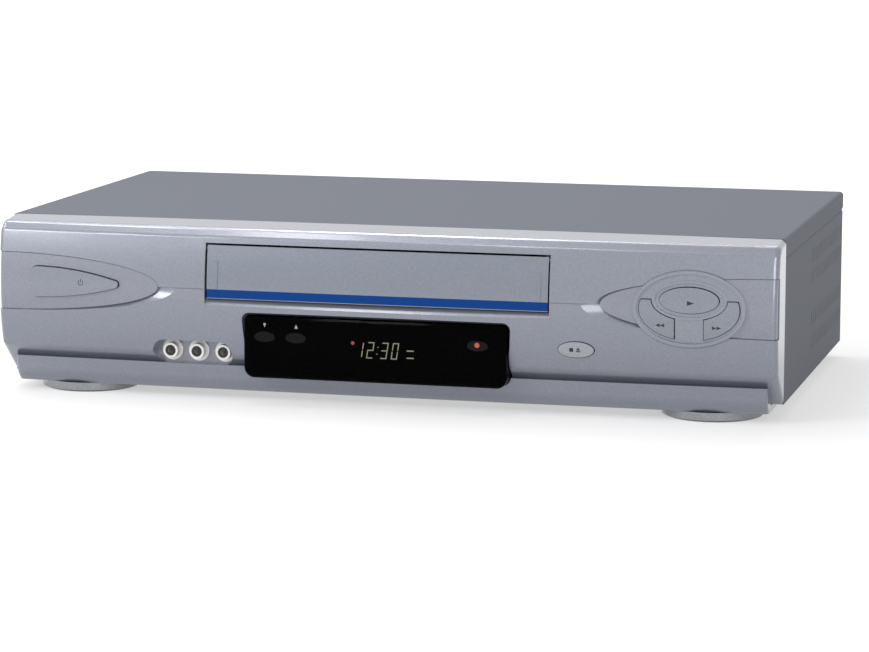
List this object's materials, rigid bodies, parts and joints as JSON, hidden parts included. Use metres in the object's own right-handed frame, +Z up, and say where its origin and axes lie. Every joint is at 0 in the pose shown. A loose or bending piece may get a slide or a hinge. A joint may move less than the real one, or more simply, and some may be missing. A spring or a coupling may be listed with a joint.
{
  "type": "video cassette recorder",
  "caption": "Wide flat video cassette recorder with a bowed front panel, a flap door, an oval ring of keys, a dark display window, front jacks and a cassette lift over a tape deck.",
  "frame": {"origin": "on the standing surface, under the middle of the whole object", "axes": "+X to the right seen from the front, +Y to the rear, +Z up; the cassette door faces -Y"},
  "size_m": [0.43, 0.2539, 0.0965],
  "materials": {
    "antenna_connectors": "nickel",
    "base_pan": "zinc-plated",
    "capstan_bearing": "turned",
    "capstan_flywheel": "turned",
    "carriage_slider": "moulded",
    "cassette_door": "silver paint",
    "cassette_holder": "zinc-plated",
    "channel_down_button": "silver paint",
    "channel_up_button": "silver paint",
    "control_inlay": "silver paint",
    "control_ring": "silver paint",
    "cord_bush": "moulded",
    "cover_screws": "black oxide",
    "deck_plate": "zinc-plated",
    "display_window": "smoked, polished",
    "door_stripe": "blue print",
    "drive_belt": "moulded",
    "drive_shaft": "turned",
    "fast_forward_button": "silver paint",
    "feet": "moulded",
    "filter_capacitors": "sleeved",
    "fluorescent_display": "clear",
    "foot_trims": "silver",
    "front_board": "solder mask",
    "front_jacks": "nickel",
    "front_panel": "silver paint",
    "heat_sink": "extruded",
    "idler_arm": "plated",
    "idler_wheel": "tyred",
    "left_guide_frame": "zinc-plated",
    "loading_motor": "plated",
    "loading_worm": "moulded",
    "lower_drum": "machined",
    "main_board": "paper laminate",
    "pinch_arm": "plated",
    "pinch_roller": "ground",
    "play_button": "silver paint",
    "power_button": "silver paint",
    "power_inlay": "silver paint",
    "rear_jack_block": "moulded",
    "rear_jacks": "nickel",
    "rear_panel": "black",
    "record_button": "silver paint",
    "reel_clutch": "moulded",
    "rewind_button": "silver paint",
    "right_guide_frame": "zinc-plated",
    "stop_eject_button": "silver paint",
    "supply_loading_arm": "plain",
    "supply_reel": "moulded",
    "tact_switches": "moulded",
    "takeup_loading_arm": "plain",
    "takeup_reel": "moulded",
    "tape_heads": "lapped",
    "tension_arm": "plated",
    "top_brace": "zinc-plated",
    "top_cover": "silver paint, fine satin",
    "transformer": "varnished",
    "tuner_module": "tinned",
    "upper_drum": "machined"
  },
  "bodies": {
    "deck": {"antenna_connectors": "antenna_connectors", "base_pan": "base_pan", "capstan_bearing": "capstan_bearing", "control_inlay": "control_inlay", "control_ring": "control_ring", "cord_bush": "cord_bush", "cover_screws": "cover_screws", "deck_plate": "deck_plate", "display_window": "display_window", "drive_belt": "drive_belt", "feet": "feet", "filter_capacitors": "filter_capacitors", "fluorescent_display": "fluorescent_display", "foot_trims": "foot_trims", "front_board": "front_board", "front_jacks": "front_jacks", "front_panel": "front_panel", "heat_sink": "heat_sink", "left_guide_frame": "left_guide_frame", "loading_motor": "loading_motor", "lower_drum": "lower_drum", "main_board": "main_board", "power_inlay": "power_inlay", "rear_jack_block": "rear_jack_block", "rear_jacks": "rear_jacks", "rear_panel": "rear_panel", "right_guide_frame": "right_guide_frame", "tact_switches": "tact_switches", "tape_heads": "tape_heads", "top_brace": "top_brace", "top_cover": "top_cover", "transformer": "transformer", "tuner_module": "tuner_module"},
    "door": {"cassette_door": "cassette_door", "door_stripe": "door_stripe"},
    "power_key": {"power_button": "power_button"},
    "channel_down_key": {"channel_down_button": "channel_down_button"},
    "channel_up_key": {"channel_up_button": "channel_up_button"},
    "record_key": {"record_button": "record_button"},
    "rewind_key": {"rewind_button": "rewind_button"},
    "play_key": {"play_button": "play_button"},
    "fast_forward_key": {"fast_forward_button": "fast_forward_button"},
    "stop_eject_key": {"stop_eject_button": "stop_eject_button"},
    "carriage": {"carriage_slider": "carriage_slider"},
    "holder": {"cassette_holder": "cassette_holder"},
    "drive": {"drive_shaft": "drive_shaft"},
    "worm": {"loading_worm": "loading_worm"},
    "drum": {"upper_drum": "upper_drum"},
    "capstan": {"capstan_flywheel": "capstan_flywheel"},
    "clutch": {"reel_clutch": "reel_clutch"},
    "supply_table": {"supply_reel": "supply_reel"},
    "takeup_table": {"takeup_reel": "takeup_reel"},
    "idler_swing": {"idler_arm": "idler_arm"},
    "idler": {"idler_wheel": "idler_wheel"},
    "pinch": {"pinch_arm": "pinch_arm"},
    "roller": {"pinch_roller": "pinch_roller"},
    "tension": {"tension_arm": "tension_arm"},
    "supply_load": {"supply_loading_arm": "supply_loading_arm"},
    "takeup_load": {"takeup_loading_arm": "takeup_loading_arm"}
  },
  "joints": [
    {"name": "door_hinge", "type": "hinge", "parent": "deck", "child": "door", "pos_m": [0, -0.1184, 0.0839], "axis": [1, 0, 0], "range_deg": [0, 100], "stiffness_Nm_per_rad": 0.004, "springref_deg": -28.65},
    {"name": "power_press", "type": "slide", "parent": "deck", "child": "power_key", "axis": [0, 1, 0], "range_m": [0, 0.0009], "stiffness_N_per_m": 400, "springref_m": -0.0005},
    {"name": "channel_down_press", "type": "slide", "parent": "deck", "child": "channel_down_key", "axis": [0, 1, 0], "range_m": [0, 0.0009], "stiffness_N_per_m": 400, "springref_m": -0.0005},
    {"name": "channel_up_press", "type": "slide", "parent": "deck", "child": "channel_up_key", "axis": [0, 1, 0], "range_m": [0, 0.0009], "stiffness_N_per_m": 400, "springref_m": -0.0005},
    {"name": "record_press", "type": "slide", "parent": "deck", "child": "record_key", "axis": [0, 1, 0], "range_m": [0, 0.0009], "stiffness_N_per_m": 400, "springref_m": -0.0005},
    {"name": "rewind_press", "type": "slide", "parent": "deck", "child": "rewind_key", "axis": [0, 1, 0], "range_m": [0, 0.0009], "stiffness_N_per_m": 400, "springref_m": -0.0005},
    {"name": "play_press", "type": "slide", "parent": "deck", "child": "play_key", "axis": [0, 1, 0], "range_m": [0, 0.0009], "stiffness_N_per_m": 400, "springref_m": -0.0005},
    {"name": "fast_forward_press", "type": "slide", "parent": "deck", "child": "fast_forward_key", "axis": [0, 1, 0], "range_m": [0, 0.0009], "stiffness_N_per_m": 400, "springref_m": -0.0005},
    {"name": "stop_eject_press", "type": "slide", "parent": "deck", "child": "stop_eject_key", "axis": [0, 1, 0], "range_m": [0, 0.0009], "stiffness_N_per_m": 400, "springref_m": -0.0005},
    {"name": "carriage_slide", "type": "slide", "parent": "deck", "child": "carriage", "axis": [0, 1, 0], "range_m": [0, 0.064]},
    {"name": "holder_drop", "type": "slide", "parent": "carriage", "child": "holder", "axis": [0, 0, 1], "range_m": [-0.024, 0]},
    {"name": "drive_turn", "type": "hinge", "parent": "deck", "child": "drive", "pos_m": [0, -0.024, 0.0902], "axis": [1, 0, 0], "range_deg": [0, 916.8]},
    {"name": "worm_turn", "type": "hinge", "parent": "deck", "child": "worm", "pos_m": [0.1104, -0.02, 0.0806], "axis": [0, 1, 0], "range_deg": [0, 4584]},
    {"name": "drum_spin", "type": "hinge", "parent": "deck", "child": "drum", "pos_m": [0, 0.08, 0.046], "axis": [0.1038, 0, 0.9946], "continuous": true},
    {"name": "capstan_spin", "type": "hinge", "parent": "deck", "child": "capstan", "pos_m": [0.058, 0.034, 0.02], "axis": [0, 0, 1], "continuous": true},
    {"name": "clutch_spin", "type": "hinge", "parent": "deck", "child": "clutch", "pos_m": [0, 0.012, 0.02], "axis": [0, 0, 1], "continuous": true},
    {"name": "supply_spin", "type": "hinge", "parent": "deck", "child": "supply_table", "pos_m": [-0.046, -0.01, 0.03], "axis": [0, 0, 1], "continuous": true},
    {"name": "takeup_spin", "type": "hinge", "parent": "deck", "child": "takeup_table", "pos_m": [0.046, -0.01, 0.03], "axis": [0, 0, 1], "continuous": true},
    {"name": "idler_turn", "type": "hinge", "parent": "deck", "child": "idler_swing", "pos_m": [0, 0.012, 0.035], "axis": [0, 0, 1], "range_deg": [-20, 20]},
    {"name": "idler_spin", "type": "hinge", "parent": "idler_swing", "child": "idler", "pos_m": [0, -0.01815, 0.03], "axis": [0, 0, 1], "continuous": true},
    {"name": "pinch_turn", "type": "hinge", "parent": "deck", "child": "pinch", "pos_m": [0.08, 0.046, 0.048], "axis": [0, 0, 1], "range_deg": [-19.5, 0]},
    {"name": "roller_spin", "type": "hinge", "parent": "pinch", "child": "roller", "pos_m": [0.0717, 0.0234, 0.042], "axis": [0, 0, 1], "continuous": true},
    {"name": "tension_turn", "type": "hinge", "parent": "deck", "child": "tension", "pos_m": [-0.072, 0.02, 0.037], "axis": [0, 0, 1], "range_deg": [-12, 12]},
    {"name": "takeup_load_turn", "type": "hinge", "parent": "deck", "child": "takeup_load", "pos_m": [0.0069, 0.0613, 0.022], "axis": [0, 0, 1], "range_deg": [0, 79]},
    {"name": "supply_load_turn", "type": "hinge", "parent": "deck", "child": "supply_load", "pos_m": [-0.0069, 0.0613, 0.022], "axis": [0, 0, 1], "range_deg": [-79, 0]}
  ],
  "couplings": [
    {"joint": "drive_turn", "follows": "carriage_slide", "rad_per_m": 250},
    {"joint": "worm_turn", "follows": "carriage_slide", "rad_per_m": 1250},
    {"joint": "clutch_spin", "follows": "capstan_spin", "ratio": 0.68},
    {"joint": "supply_load_turn", "follows": "takeup_load_turn", "ratio": -1}
  ]
}
